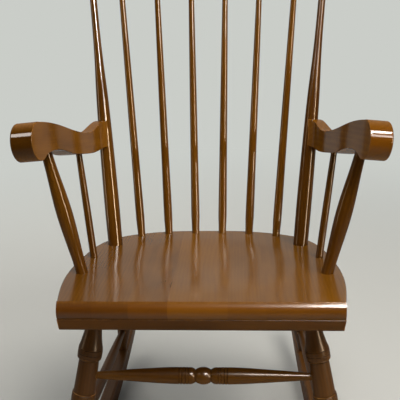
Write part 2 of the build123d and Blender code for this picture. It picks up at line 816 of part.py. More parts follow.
# ---------------------------------------------------------------- arm supports
arm_post_length = (arm_post_head - arm_post_foot).length
arm_post_parts = [
    [
        (collar, arm_post_radius),
        (arm_post_ankle, arm_post_ankle_radius),
        (arm_post_length / 2, arm_post_belly_radius),
        (arm_post_length - arm_post_ankle, arm_post_neck_radius),
        (arm_post_length - collar, arm_post_top_radius),
    ]
]
with BuildPart() as arm_post:
    turn(
        axis_plane(arm_post_foot, arm_post_head),
        arm_post_parts,
        arm_support_depth + collar,
        arm_socket_depth + collar,
    )
keep_pair(arm_post, "arm_post")

arm_spindle_length = (arm_spindle_head - arm_spindle_foot).length
arm_spindle_parts = [
    [
        (collar, arm_spindle_radius),
        (arm_spindle_length / 2, arm_spindle_middle_radius),
        (arm_spindle_length - arm_spindle_neck, arm_spindle_neck_radius),
        (arm_spindle_length - collar, arm_spindle_top_radius),
    ]
]
with BuildPart() as arm_spindle:
    turn(
        axis_plane(arm_spindle_foot, arm_spindle_head),
        arm_spindle_parts,
        arm_support_depth + collar,
        arm_socket_depth + collar,
    )
keep_pair(arm_spindle, "arm_spindle")
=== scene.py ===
# %% [markdown]
# # A spindle-back rocking chair
# Adult rockers of this kind are made from a pale hardwood, turned, sawn and steam-bent,
# then stained brown and sprayed with a semi-gloss lacquer. The solids of every piece come
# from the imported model. This lesson gives each one its grain, its stain and its lacquer,
# and sets the chair on a plain floor.

# %% Load the chair
import math
import random

import bpy
import numpy as np
from mathutils import Matrix, Vector


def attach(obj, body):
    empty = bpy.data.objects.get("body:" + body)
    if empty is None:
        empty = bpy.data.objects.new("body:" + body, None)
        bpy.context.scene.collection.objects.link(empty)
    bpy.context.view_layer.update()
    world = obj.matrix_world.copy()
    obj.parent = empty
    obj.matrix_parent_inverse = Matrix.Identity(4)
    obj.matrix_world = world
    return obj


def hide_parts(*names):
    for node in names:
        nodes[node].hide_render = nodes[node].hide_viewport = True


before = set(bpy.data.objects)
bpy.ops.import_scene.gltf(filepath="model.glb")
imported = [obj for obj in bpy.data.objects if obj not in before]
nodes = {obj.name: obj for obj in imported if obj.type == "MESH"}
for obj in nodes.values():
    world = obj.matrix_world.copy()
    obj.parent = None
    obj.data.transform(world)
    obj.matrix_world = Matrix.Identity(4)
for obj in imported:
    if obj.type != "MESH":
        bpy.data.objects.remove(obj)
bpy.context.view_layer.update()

MM = 0.001

# %% [markdown]
# Colours are chosen as sRGB hex values, as on a paint chart, and the renderer wants linear
# light, so one function converts them. A second function adds a shader or geometry node,
# with its settings, its values and its links in one call, so that each tree below reads
# like a recipe. A third gives back the socket that a node's result comes out of. Four more
# cover what nearly every tree needs: a blend of two colours, a product, a dot product, and
# a share that runs from nothing to the most of something between two limits.

# %% Helpers
def linear(hex_colour):
    channels = [int(hex_colour[i : i + 2], 16) / 255 for i in (1, 3, 5)]
    curve = [c / 12.92 if c <= 0.04045 else ((c + 0.055) / 1.055) ** 2.4 for c in channels]
    return (*curve, 1.0)


def add(tree, kind, values=None, **settings):
    """Adds one node. A value is a constant, or another node's output socket to link from."""
    node = tree.nodes.new(kind)
    for name, setting in settings.items():
        setattr(node, name, setting)
    for key, value in (values or {}).items():
        named = [s for s in node.inputs if s.name == key and s.enabled]
        socket = named[0] if named else node.inputs[key]
        if isinstance(value, bpy.types.NodeSocket):
            tree.links.new(value, socket)
        else:
            socket.default_value = value
    return node


def result(node):
    return next(socket for socket in node.outputs if socket.enabled)


def mix(tree, factor, a, b):
    return result(add(tree, "ShaderNodeMix", {"Factor": factor, "A": a, "B": b}, data_type="RGBA"))


def product(tree, a, b):
    return result(add(tree, "ShaderNodeMath", {0: a, 1: b}, operation="MULTIPLY"))


def dot(tree, a, b):
    return add(tree, "ShaderNodeVectorMath", {0: a, 1: b}, operation="DOT_PRODUCT").outputs["Value"]


def share_of(tree, value, start, full, most=1.0, **settings):
    """A share that is 0 where the value is at start, and the most where it is at full."""
    ends = {"Value": value, "From Min": start, "From Max": full, "To Max": most}
    return result(add(tree, "ShaderNodeMapRange", ends, **settings))


print("a mid grey in linear light:", [round(c, 3) for c in linear("#808080")])

# %% [markdown]
# The camera stands some 25 cm above the arms, a good metre in front of the seat, and looks
# down past the front edge to the rockers. It is slightly turned and tilted, as a camera
# held in the hand is. A 72 mm lens keeps the sides of the chair from spreading.

# %% Camera
scene = bpy.context.scene
camera_data = bpy.data.cameras.new("camera")
camera_data.lens = 72
camera_data.sensor_width = 36
camera = bpy.data.objects.new("camera", camera_data)
scene.collection.objects.link(camera)
scene.camera = camera
camera_place = Vector((58.5, -1497.9, 947.4)) * MM
look_down, look_left, tilt = 16.59, 2.72, -0.91     # degrees
camera.matrix_world = (
    Matrix.Translation(camera_place)
    @ Matrix.Rotation(math.radians(look_left), 4, "Z")
    @ Matrix.Rotation(math.radians(90 - look_down), 4, "X")
    @ Matrix.Rotation(math.radians(tilt), 4, "Z")
)
scene.view_settings.view_transform = "Standard"
print("camera at", [round(c, 3) for c in camera_place])

# %% [markdown]
# The chair stands on a plain pale floor. Near the chair the floor is a real matt surface that
# takes its shadow. Further out it turns into the tone of the surroundings, so no horizon
# shows. Only the camera and the reflections see that tone: it puts no light on the wood. In
# the reflections it is the backdrop's tone behind the chair and the dim room's in front.

# %% Floor
BACKDROP = "#cacdc8"
DIM_ROOM = "#2b2826"
FLOOR_GREY = "#bcbfbd"
FLOOR_REACH = 9                         # metres from the middle to each edge
MATT_TO, BACKDROP_FROM = 0.7, 2.6       # metres from the chair's middle
PALE_TO, DIM_FROM = 0.5, -0.7           # metres behind the chair's middle
floor_material = bpy.data.materials.new("matt_pale_floor")
floor_material.use_nodes = True
floor_tree = floor_material.node_tree
floor_tree.nodes.clear()
matt = add(
    floor_tree, "ShaderNodeBsdfPrincipled",
    {"Base Color": linear(FLOOR_GREY), "Roughness": 0.9, "Specular IOR Level": 0.0},
)
floor_place = add(floor_tree, "ShaderNodeTexCoord")
floor_rays = add(floor_tree, "ShaderNodeLightPath")
floor_axes = add(floor_tree, "ShaderNodeSeparateXYZ", {"Vector": floor_place.outputs["Object"]})
in_front = share_of(floor_tree, floor_axes.outputs["Y"], PALE_TO, DIM_FROM)
mirrored_in_front = product(floor_tree, in_front, floor_rays.outputs["Is Glossy Ray"])
far_colour = mix(floor_tree, mirrored_in_front, linear(BACKDROP), linear(DIM_ROOM))
far_tone = add(floor_tree, "ShaderNodeEmission", {"Color": far_colour})
distance = add(
    floor_tree, "ShaderNodeVectorMath", {0: floor_place.outputs["Object"]}, operation="LENGTH"
).outputs["Value"]
fade = share_of(floor_tree, distance, MATT_TO, BACKDROP_FROM, interpolation_type="SMOOTHSTEP")
floor_seen = add(
    floor_tree, "ShaderNodeMath",
    {0: floor_rays.outputs["Is Camera Ray"], 1: floor_rays.outputs["Is Glossy Ray"]},
    operation="MAXIMUM",
)
far_share = product(floor_tree, fade, result(floor_seen))
floor_mix = add(
    floor_tree, "ShaderNodeMixShader", {0: far_share, 1: result(matt), 2: result(far_tone)}
)
add(floor_tree, "ShaderNodeOutputMaterial", {"Surface": result(floor_mix)})

floor_signs = ((-1, -1), (1, -1), (1, 1), (-1, 1))
floor_corners = [(x * FLOOR_REACH, y * FLOOR_REACH, 0) for x, y in floor_signs]
floor_mesh = bpy.data.meshes.new("floor")
floor_mesh.from_pydata(floor_corners, [], [(0, 1, 2, 3)])
floor_mesh.materials.append(floor_material)
floor = bpy.data.objects.new("floor", floor_mesh)
scene.collection.objects.link(floor)
print("floor:", 2 * FLOOR_REACH, "m square")

# %% [markdown]
# A lacquered surface is a weak mirror, so what surrounds the chair matters as much as the
# lamps. Behind it everything is pale. In front of it is a dim room, which keeps the front
# faces deep in colour. The light that falls on the wood is set apart from both: it is even
# and weak, and fills the shadows. How far back a ray looks is the Y part of its direction,
# -1 straight to the front and 1 straight to the back.

# %% Surroundings
SOFT_WHITE = "#e6e9ea"
SOFT_STRENGTH = 0.28
ROOM_TO, PALE_FROM = -0.1, 0.6          # how far back a ray looks
world = bpy.data.worlds.new("studio")
scene.world = world
world.use_nodes = True
world_tree = world.node_tree
world_tree.nodes.clear()
rays = add(world_tree, "ShaderNodeLightPath")
direction = add(world_tree, "ShaderNodeTexCoord")
towards = add(world_tree, "ShaderNodeSeparateXYZ", {"Vector": direction.outputs["Object"]})
behind = share_of(
    world_tree, towards.outputs["Y"], ROOM_TO, PALE_FROM, interpolation_type="SMOOTHSTEP"
)
backdrop = add(world_tree, "ShaderNodeBackground", {"Color": linear(BACKDROP)})
dim_room = add(world_tree, "ShaderNodeBackground", {"Color": linear(DIM_ROOM)})
mirrored = add(
    world_tree, "ShaderNodeMixShader", {0: behind, 1: result(dim_room), 2: result(backdrop)}
)
soft_light = add(
    world_tree, "ShaderNodeBackground", {"Color": linear(SOFT_WHITE), "Strength": SOFT_STRENGTH}
)
for_reflections = add(
    world_tree, "ShaderNodeMixShader",
    {0: rays.outputs["Is Glossy Ray"], 1: result(soft_light), 2: result(mirrored)},
)
for_camera = add(
    world_tree, "ShaderNodeMixShader",
    {0: rays.outputs["Is Camera Ray"], 1: result(for_reflections), 2: result(backdrop)},
)
add(world_tree, "ShaderNodeOutputWorld", {"Surface": result(for_camera)})
print("surroundings are set")

# %% [markdown]
# Two soft panels light the wood, and are kept out of the reflections: a broad one high in
# front on the right, and a weaker one behind the chair on the left. What the lacquer mirrors
# is another set of lamps, which light nothing else. Two tall strips, a weak one on the left
# and a strong one in front on the right, draw the fine lines down every post and spindle. A
# panel on the ceiling near the chair catches the right end of the seat's rolled front, and
# one on each side catches the arm scrolls.

# %% Lamps
WARM_WHITE = "#fff7ee"
AMBER = "#ffe2bb"
CEILING = 2.4
CHAIR_MIDDLE = (0, 0, 0.5)
STRIP_TARGET = (0, 0, 1.7)


def panel(name, place, target, size, power, mirrored=True, tint=WARM_WHITE):
    """A lamp of a given width and height in metres, and a power in watts."""
    light = bpy.data.lights.new(name, "AREA")
    light.shape = "RECTANGLE"
    light.size, light.size_y = size
    light.energy = power
    light.color = linear(tint)[:3]
    lamp = bpy.data.objects.new(name, light)
    lamp.location = place
    lamp.rotation_euler = (Vector(target) - Vector(place)).to_track_quat("-Z", "Y").to_euler()
    lamp.visible_camera = False
    lamp.visible_glossy = mirrored
    lamp.visible_diffuse = not mirrored
    scene.collection.objects.link(lamp)
    return lamp


def ceiling_panel(name, x, y, size, power):
    return panel(name, (x, y, CEILING), (x, y, 0), size, power)


lamps = [
    panel("broad_panel", (0.9, -1.2, 2.6), CHAIR_MIDDLE, (1.8, 1.4), 86, mirrored=False),
    panel("back_panel", (-0.9, 2.2, 2.0), CHAIR_MIDDLE, (1.6, 1.2), 40, mirrored=False),
    panel("tall_strip_left", (-4.4, -0.9, 1.7), STRIP_TARGET, (0.5, 3.0), 60, tint=AMBER),
    panel("tall_strip_right", (3.9, -3.1, 1.7), STRIP_TARGET, (0.55, 3.0), 400, tint=AMBER),
    ceiling_panel("ceiling_panel_near", 1.0, -1.5, (1.04, 1.2), 640),
    ceiling_panel("ceiling_panel_left", -1.8, -1.3, (1.0, 0.9), 90),
    ceiling_panel("ceiling_panel_right", 2.1, -2.5, (1.0, 1.1), 130),
]
print(len(lamps), "lamps")

# %% [markdown]
# ## Grain
# Wood is not a skin: growth rings and fibres run through the whole piece, so they show as
# long streaks on the sides and as arcs on the ends. One way is to unwrap every piece and lay
# a picture of grain on it. Here a solid pattern is used instead, which needs no unwrapping:
# each piece has its own grain frame, whose X axis runs along the fibres and whose other two
# axes are measured from a pith line outside the piece, as in a board sawn from a log. A
# Mapping node turns the object's coordinates into that frame.

# %% Grain frames
LOG_LENGTH = 9.0            # metres of log that the blanks are cut from
PITH_REACH = (0.03, 0.09)   # metres from a piece to its pith, at least and at most


def points_of(node_name):
    mesh = nodes[node_name].data
    flat = np.empty(len(mesh.vertices) * 3, np.float32)
    mesh.vertices.foreach_get("co", flat)
    return flat.reshape(-1, 3).astype(float)


def long_axis(node_name):
    """The direction in which a piece is longest."""
    points = points_of(node_name)
    return np.linalg.svd(points - points.mean(0), full_matrices=False)[2][0]


def pith_place(seed, reach):
    """Where the pith lies, seen from the middle of the piece."""
    dice = random.Random(seed)
    around = dice.uniform(0, 2 * math.pi)
    away = dice.uniform(*reach)
    along = dice.uniform(0, LOG_LENGTH)
    return Vector((along, away * math.cos(around), away * math.sin(around)))


def grain_frame(node_name, along, seed, reach):
    """Turn and shift of a Mapping node that lays the grain along a piece."""
    helper = Vector((0, 0, 1)) if abs(along.z) < 0.7 else Vector((0, 1, 0))
    side = helper.cross(along).normalized()
    turn = Matrix((along, side, along.cross(side)))
    middle = Vector(points_of(node_name).mean(0))
    return turn.to_euler(), pith_place(seed, reach) - turn @ middle


print("a front leg's long axis:", [round(float(v), 2) for v in long_axis("front_leg_right")])

# %% [markdown]
# ## Stained hardwood
# The wood is a pale, close-grained hardwood under a brown spirit stain. The stain sinks
# deeper into the end grain and the soft early wood, so those come out darker. Growth rings
# are about 6 mm apart and fibres show as streaks 2 to 3 mm wide, which is coarser than the
# real pores, because those are too fine to be seen from across a room. Broad, faint clouds
# come from a stain that was wiped on by hand.

# %% Colour of the wood
RING_SPACING = 6 * MM
WAVE_PERIOD = 2 * math.pi / 20      # spacing of the wave texture's rings at scale 1
FIBRE_WIDTH = 2.6 * MM
FIBRE_LENGTH = 160 * MM
CLOUD_SIZE = 80 * MM
RING_SHARE, FIBRE_SHARE, CLOUD_SHARE = 0.10, 0.30, 0.60     # of each pattern in the shade
DARK_SHADE, LIGHT_SHADE = 0.22, 0.78    # the shades that are all deep and all light


def streaks(tree, grain, size_along, size_across, detail):
    """Noise stretched along the grain, with the given sizes in metres."""
    scale = (1 / size_along, 1 / size_across, 1 / size_across)
    place = add(tree, "ShaderNodeMapping", {"Vector": grain, "Scale": scale})
    noise = {"Vector": result(place), "Scale": 1.0, "Detail": detail, "Roughness": 0.55}
    return add(tree, "ShaderNodeTexNoise", noise).outputs["Fac"]


def long_grain(tree, grain, fibres, tone, deep, light):
    """Colour of the wood where it is cut along its fibres."""
    rings = add(
        tree, "ShaderNodeTexWave",
        {"Vector": grain, "Scale": WAVE_PERIOD / RING_SPACING, "Distortion": 3.0,
         "Detail": 2.0, "Detail Scale": 0.35},
        wave_type="RINGS", rings_direction="X",
    ).outputs["Fac"]
    clouds = streaks(tree, grain, 2 * CLOUD_SIZE, CLOUD_SIZE, 2.0)
    shade = tone
    for part, share in ((rings, RING_SHARE), (fibres, FIBRE_SHARE), (clouds, CLOUD_SHARE)):
        step = add(tree, "ShaderNodeMath", {0: part, 1: share, 2: shade}, operation="MULTIPLY_ADD")
        shade = result(step)
    level = share_of(tree, shade, DARK_SHADE, LIGHT_SHADE)
    return mix(tree, level, linear(deep), linear(light))


print("growth rings every", RING_SPACING / MM, "mm")

# %% [markdown]
# How squarely a face cuts the fibres is the dot product of its normal with the direction of
# the grain: near 0 on a side, near 1 on an end. It mixes in the darker end-grain colour.

# %% End grain
LONG_TO, END_FROM = 0.45, 0.9       # dot products: long grain below, end grain above


def end_grain_share(tree, normal, along, most):
    square = add(tree, "ShaderNodeMath", {0: dot(tree, normal, along)}, operation="ABSOLUTE")
    return share_of(tree, result(square), LONG_TO, END_FROM, most)


print("end grain starts", round(math.degrees(math.acos(LONG_TO))), "degrees off square")

# %% [markdown]
# Years of hands and cloths rub the stain off the arrises, and leave it standing in the
# grooves. Here the pale arrises are also painted highlight, for the light a rounded edge
# catches, and the dark grooves are also painted shade, for the shade that falls in them.
# Ambient occlusion finds both. Turned inwards, its rays leave the wood early at a
# sharp outer edge, and turned outwards, they are caught early in a groove. On the staves the
# same test would also mark their glued joints, so there the pale rim is found by its height
# and by how far it leans from the seat's own upward direction.

# %% Rubbed arrises and dark grooves, with painted highlight and shade
ARRIS_REACH = 2.2 * MM
GROOVE_REACH = 5 * MM
WEAR_PATCH = 14 * MM
# pale arrises: rubbed wear, and painted highlight
PALE_WEAR_AND_HIGHLIGHT = "#a8743a"
# dark grooves: stain left in them, and painted shade
GROOVE_STAIN_AND_SHADE = "#241204"
ARRIS_FROM, ARRIS_FULL = 0.86, 0.5      # light left inside the wood, near its edge
HOLLOW_FROM, HOLLOW_FULL = 0.9, 0.35    # light left outside it, in a groove
PATCH_FROM, PATCH_FULL = 0.38, 0.66     # noise, of which the highest parts turn pale
RIM_FROM, RIM_FULL = 0.97, 0.8          # cosine of the lean of the seat's surface
RIM_DEPTH = 3 * MM                      # the rim starts this far below the seat's top
RIM_FADE = 1.2 * MM                     # and is full this much higher
SEAT_SLOPE = math.radians(3.9)          # the seat falls towards its back
SEAT_FRONT = Vector((0, -312, 423)) * MM
SEAT_UP = Vector((0, math.sin(SEAT_SLOPE), math.cos(SEAT_SLOPE)))


def occlusion(tree, reach, inside=False):
    node = add(
        tree, "ShaderNodeAmbientOcclusion", {"Distance": reach},
        inside=inside, only_local=True, samples=6,
    )
    return node.outputs["AO"]


def seat_rim(tree, place):
    """Where the seat's top turns over its edge."""
    leaning = dot(tree, place.outputs["Normal"], SEAT_UP)
    height = dot(tree, place.outputs["Object"], SEAT_UP)
    rim = SEAT_FRONT.dot(SEAT_UP) - RIM_DEPTH
    turned = share_of(tree, leaning, RIM_FROM, RIM_FULL)
    near_top = share_of(tree, height, rim, rim + RIM_FADE)
    return product(tree, turned, near_top)


def with_wear_and_painted_light(tree, grain, colour, edge, wear_and_highlight, grooves):
    """Pales the edges in patches, for wear and painted highlight, and darkens the grooves, for stain
    and painted shade.
    """
    noise = {"Vector": grain, "Scale": 1 / WEAR_PATCH, "Detail": 3.0}
    patches = add(tree, "ShaderNodeTexNoise", noise).outputs["Fac"]
    # pale arrises: wear, and painted highlight where an edge catches the light
    worn_and_lit_edge = product(tree, edge, share_of(tree, patches, PATCH_FROM, PATCH_FULL, wear_and_highlight))
    # dark grooves: stain, and painted shade where ambient occlusion finds a hollow
    hollow_stain_and_shade = share_of(tree, occlusion(tree, GROOVE_REACH), HOLLOW_FROM, HOLLOW_FULL, grooves)
    return mix(tree, worn_and_lit_edge, mix(tree, hollow_stain_and_shade, colour, linear(GROOVE_STAIN_AND_SHADE)), linear(PALE_WEAR_AND_HIGHLIGHT))


print("wear reaches", ARRIS_REACH / MM, "mm in from an arris")

# %% [markdown]
# Over the stain lies a clear semi-gloss lacquer, sprayed. It is the shader's coat: a second
# layer with its own reflection. Wood under lacquer has no shine of its own, because the
# lacquer wets it, so the base keeps no specular. The film is a little uneven, some
# 20 mm from crest to crest, and that bends reflections slightly.

# %% Lacquer
RIPPLE_SIZE = 22 * MM
RIPPLE_HEIGHT = 1.0 * MM
PORE_DEPTH = 0.2 * MM
PORE_STRENGTH = 0.10
LACQUER_IOR = 1.5


def lacquered(tree, colour, fibres, grain, finish):
    wave = streaks(tree, grain, 2 * RIPPLE_SIZE, RIPPLE_SIZE, 1.0)
    pores = add(
        tree, "ShaderNodeBump", {"Height": fibres, "Strength": PORE_STRENGTH, "Distance": PORE_DEPTH}
    )
    uneven = add(
        tree, "ShaderNodeBump",
        {"Height": wave, "Strength": finish["ripple"], "Distance": RIPPLE_HEIGHT},
    )
    shader = add(
        tree, "ShaderNodeBsdfPrincipled",
        {"Base Color": colour, "Roughness": 0.55, "IOR": 1.5, "Specular IOR Level": 0.0,
         "Coat Weight": finish["coat"], "Coat Roughness": finish["coat_roughness"],
         "Coat IOR": LACQUER_IOR, "Normal": result(pores), "Coat Normal": result(uneven)},
    )
    add(tree, "ShaderNodeOutputMaterial", {"Surface": result(shader)})


print("the film ripples every", RIPPLE_SIZE / MM, "mm")

# %% [markdown]
# ## Finishes
# A finish is a set of values. Three are stains: of the deep and the light parts of the long
# grain, and of the end grain. The others say how much of the end grain's stain shows, how
# strong and how rough the coat is, how far it ripples, how pale the arrises are, from wear
# and as painted highlight, and how dark the grooves are, from stain and as painted shade.
# Every finish is the chestnut one with some of its values changed: a satin and a dull one
# where the gloss is worn, paler ones for the seat and the arms, and a darker one, umber,
# which is painted shade for what stands under the seat. The strip under the seat's front
# edge is umber too, with the palest arrises. Slim round bars have no arris.

# %% Finishes
CHESTNUT = {
    "deep": "#432505", "light": "#68410d", "end": "#4b2b05", "end_share": 0.6,
    "coat": 0.55, "coat_roughness": 0.055, "ripple": 0.12, "wear_and_highlight": 0.6, "grooves": 0.5,
}
SEAT_STAIN = {
    **CHESTNUT, "deep": "#55340a", "light": "#70480f", "end_share": 0.95,
    "coat_roughness": 0.17, "wear_and_highlight": 0.12, "ripple": 0.1,
}
ARM_STAIN = {
    **CHESTNUT, "deep": "#573407", "light": "#805213", "end": "#3c2204", "end_share": 0.9,
    "coat": 0.34, "coat_roughness": 0.08, "wear_and_highlight": 0.4,
}
# painted shade: a darker brown for the pieces in the seat's shade
SHADED_UMBER = {
    **CHESTNUT, "deep": "#3b2106", "light": "#5b3811", "end": "#3a2108",
    "coat": 0.3, "coat_roughness": 0.28, "wear_and_highlight": 0.85, "grooves": 0.8,
}
SATIN_CHESTNUT = {**CHESTNUT, "coat": 0.3, "coat_roughness": 0.13}
DULL_CHESTNUT = {**CHESTNUT, "coat": 0.28, "coat_roughness": 0.25}
ROUND_BAR = {**CHESTNUT, "wear_and_highlight": 0.0}
# the palest arrises and darkest grooves: wear and stain, with painted highlight and shade
SEAT_STRIP = {**SHADED_UMBER, "wear_and_highlight": 1.0, "grooves": 0.95}
print("stains:", CHESTNUT["light"], SEAT_STAIN["light"], ARM_STAIN["light"], SHADED_UMBER["light"])

# %% [markdown]
# A piece's own material is the recipe, seen through the piece's grain frame. The seed picks
# the piece's own blank, the reach says how far from it the pith lies, and the tone makes the
# whole piece lighter or darker.

# %% A material for one piece
def new_material(name):
    material = bpy.data.materials.new(name)
    material.use_nodes = True
    material.node_tree.nodes.clear()
    return material


def dressed(material, place, grain, along, finish, tone, edge=None):
    """The whole recipe, in one material, from its grain coordinates."""
    tree = material.node_tree
    fibres = streaks(tree, grain, FIBRE_LENGTH, FIBRE_WIDTH, 3.0)
    sides = long_grain(tree, grain, fibres, tone, finish["deep"], finish["light"])
    ends = end_grain_share(tree, place.outputs["Normal"], along, finish["end_share"])
    colour = mix(tree, ends, sides, linear(finish["end"]))
    if edge is None:
        edge = share_of(tree, occlusion(tree, ARRIS_REACH, inside=True), ARRIS_FROM, ARRIS_FULL)
    colour = with_wear_and_painted_light(tree, grain, colour, edge, finish["wear_and_highlight"], finish["grooves"])
    lacquered(tree, colour, fibres, grain, finish)
    return material


def wood_for(node_name, finish, seed, along=None, reach=PITH_REACH, tone=0.0):
    """Dresses a piece, with its grain along its longest direction if no other is given."""
    along = Vector(long_axis(node_name) if along is None else along).normalized()
    turn, shift = grain_frame(node_name, along, seed, reach)
    material = new_material(f"lacquered_hardwood_{node_name}")
    tree = material.node_tree
    place = add(tree, "ShaderNodeTexCoord")
    from_object = {"Vector": place.outputs["Object"], "Rotation": turn, "Location": shift}
    grain = result(add(tree, "ShaderNodeMapping", from_object))
    edge = seat_rim(tree, place) if node_name.startswith("seat_stave") else None
    nodes[node_name].material_slots[0].material = dressed(
        material, place, grain, along, finish, tone, edge
    )


print("one material for each piece")

# %% [markdown]
# ## Seat
# The seat is glued up from seven staves that run front to back. Each came from another
# board, so each took the stain a little differently, and the joints show as steps of tone
# along the rolled front edge, where the fibres are cut across. The staves on the left are
# also made darker, which is painted shade on the side of the front edge that gets less
# light. The strip under that edge is one length of the same wood, in the darker umber that
# paints the shade under the seat.

# %% Dress the seat
seat_along = (0, math.cos(SEAT_SLOPE), -math.sin(SEAT_SLOPE))
# For each stave, how much lighter its top is, and the colour of its cut ends. The left staves are
# darker, partly their stain and partly painted shade.
stave_tones_and_shade = {
    1: (-0.20, "#532e07"), 2: (-0.12, "#573107"), 3: (-0.10, "#623807"), 4: (0.07, "#73450c"),
    5: (0.03, "#6c400a"), 6: (0.05, "#693e09"), 7: (0.0, "#653b09"),
}
for number, (stave_tone, cut_ends) in stave_tones_and_shade.items():
    stave_look = {**SEAT_STAIN, "end": cut_ends}
    wood_for(f"seat_stave_{number}", stave_look, 10 + number, along=seat_along, tone=stave_tone)
wood_for("seat_front_roll", SEAT_STRIP, 31, along=(1, 0, 0))
print("seat: 7 staves and a strip")

# %% [markdown]
# ## Spindles
# The six spindles are turned alike on a lathe: a tenon in the seat, a gentle swell just
# above it, and a long taper to the crest rail. Their feet stand on a shallow arc at a close
# pitch and their heads on another arc at a wider one, which fans them out and makes a
# hollow for the sitter's back. Six copies could be turned and placed by hand, but all of it
# follows from a few sizes, so Geometry Nodes do it: one spindle is a line with a profile of
# radii swept along it, and it is set on six points, each turned towards its own head.

# %% Sizes of the spindles, in millimetres
SPINDLE_SIZES = {
    "Count": 6, "Seat Pitch": 56.5, "Crest Pitch": 72.5, "Seat Arc": 424, "Crest Arc": 440,
    "Seat Apex": 429, "Lean": 101, "Rise": 532, "Tenon": 20, "Past Head": 3,
}
CREST_LEAN = math.radians(11.5)
# Distances up from the seat, and the radius at each.
SPINDLE_PROFILE = [(-20, 7.9), (5, 7.9), (40, 8.8), (140, 8.2), (270, 7.5), (400, 6.6)]
SPINDLE_HEAD_RADIUS = 5.9
HEAD_STRAIGHT = 27      # the head is straight for this far
WIDEST = 10             # the radius at the top of the profile's curve widget
RINGS_ALONG = 90
SIDES_ROUND = 28
middle_length = math.hypot(SPINDLE_SIZES["Lean"], SPINDLE_SIZES["Rise"])
print("a middle spindle shows about", round(middle_length - HEAD_STRAIGHT), "mm")

# %% The tree and its inputs
spindle_tree = bpy.data.node_groups.new("fanned_spindles", "GeometryNodeTree")
spindle_tree.interface.new_socket("Geometry", in_out="OUTPUT", socket_type="NodeSocketGeometry")
for size_name, size in SPINDLE_SIZES.items():
    kind = "NodeSocketInt" if size_name == "Count" else "NodeSocketFloat"
    socket = spindle_tree.interface.new_socket(size_name, in_out="INPUT", socket_type=kind)
    socket.default_value = size if size_name == "Count" else size * MM
spindle_tree.interface.new_socket("Stain", in_out="INPUT", socket_type="NodeSocketMaterial")
given = add(spindle_tree, "NodeGroupInput").outputs


def chain(operation, *values):
    """A chain of one arithmetic operation over several values."""
    total = values[0]
    for value in values[1:]:
        total = result(add(spindle_tree, "ShaderNodeMath", {0: total, 1: value}, operation=operation))
    return total


def arc_fall(radius, across):
    """How far an arc falls away from its crown: R - sqrt(R^2 - x^2)."""
    square = chain("SUBTRACT", chain("MULTIPLY", radius, radius), chain("MULTIPLY", across, across))
    root = add(spindle_tree, "ShaderNodeMath", {0: square}, operation="SQRT")
    return chain("SUBTRACT", radius, result(root))


def at(x, y, z):
    return result(add(spindle_tree, "ShaderNodeCombineXYZ", {"X": x, "Y": y, "Z": z}))


print(len(spindle_tree.interface.items_tree), "sockets")

# %% Feet on one arc, heads on the other
number_along = result(add(spindle_tree, "GeometryNodeInputIndex"))
half_way = chain("MULTIPLY", chain("SUBTRACT", given["Count"], 1), 0.5)
from_middle = chain("SUBTRACT", number_along, half_way)
foot_across = chain("MULTIPLY", from_middle, given["Seat Pitch"])
head_across = chain("MULTIPLY", from_middle, given["Crest Pitch"])
foot_back = chain("SUBTRACT", given["Seat Apex"], arc_fall(given["Seat Arc"], foot_across))
head_fall = arc_fall(given["Crest Arc"], head_across)
head_back = chain(
    "SUBTRACT", chain("ADD", given["Seat Apex"], given["Lean"]),
    chain("MULTIPLY", head_fall, math.cos(CREST_LEAN)),
)
head_up = chain("ADD", given["Rise"], chain("MULTIPLY", head_fall, math.sin(CREST_LEAN)))
foot = at(foot_across, foot_back, 0.0)
head = at(head_across, head_back, head_up)
reach = result(add(spindle_tree, "ShaderNodeVectorMath", {0: head, 1: foot}, operation="SUBTRACT"))
reach_length = add(
    spindle_tree, "ShaderNodeVectorMath", {0: reach}, operation="LENGTH"
).outputs["Value"]
feet = add(spindle_tree, "GeometryNodePoints", {"Count": given["Count"], "Position": foot})
print("feet and heads are placed")

# %% [markdown]
# The one spindle is made upright with its foot at the origin. Its profile is a curve widget
# from radius to radius along its length. Its own coordinates, stored before it is placed,
# are the grain coordinates of every copy, and a stored random shift gives each copy its own
# streaks, as each came from its own blank.

# %% One spindle, and six of it
tenon_end = chain("MULTIPLY", given["Tenon"], -1.0)
nominal = middle_length * MM
line = add(
    spindle_tree, "GeometryNodeCurvePrimitiveLine",
    {"Start": at(0.0, 0.0, tenon_end), "End": at(0.0, 0.0, chain("ADD", nominal, given["Past Head"]))},
)
fine_line = add(
    spindle_tree, "GeometryNodeResampleCurve", {"Curve": result(line), "Count": RINGS_ALONG}
)
along_line = add(spindle_tree, "GeometryNodeSplineParameter").outputs["Factor"]
profile = add(spindle_tree, "ShaderNodeFloatCurve", {"Value": along_line})
whole = middle_length + SPINDLE_SIZES["Tenon"] + SPINDLE_SIZES["Past Head"]
stations = SPINDLE_PROFILE + [
    (middle_length - HEAD_STRAIGHT, SPINDLE_HEAD_RADIUS),
    (middle_length + SPINDLE_SIZES["Past Head"], SPINDLE_HEAD_RADIUS),
]
curve = profile.mapping.curves[0]
for number, (distance_up, radius) in enumerate(stations):
    spot = ((distance_up + SPINDLE_SIZES["Tenon"]) / whole, radius / WIDEST)
    if number in (0, len(stations) - 1):
        curve.points[0 if number == 0 else -1].location = spot
    else:
        curve.points.new(*spot)
for point in curve.points:
    point.handle_type = "AUTO_CLAMPED"
profile.mapping.update()
round_section = add(
    spindle_tree, "GeometryNodeCurvePrimitiveCircle", {"Resolution": SIDES_ROUND, "Radius": 1.0}
)
lathe = add(
    spindle_tree, "GeometryNodeCurveToMesh",
    {"Curve": result(fine_line), "Profile Curve": result(round_section),
     "Scale": chain("MULTIPLY", result(profile), WIDEST * MM), "Fill Caps": True},
)
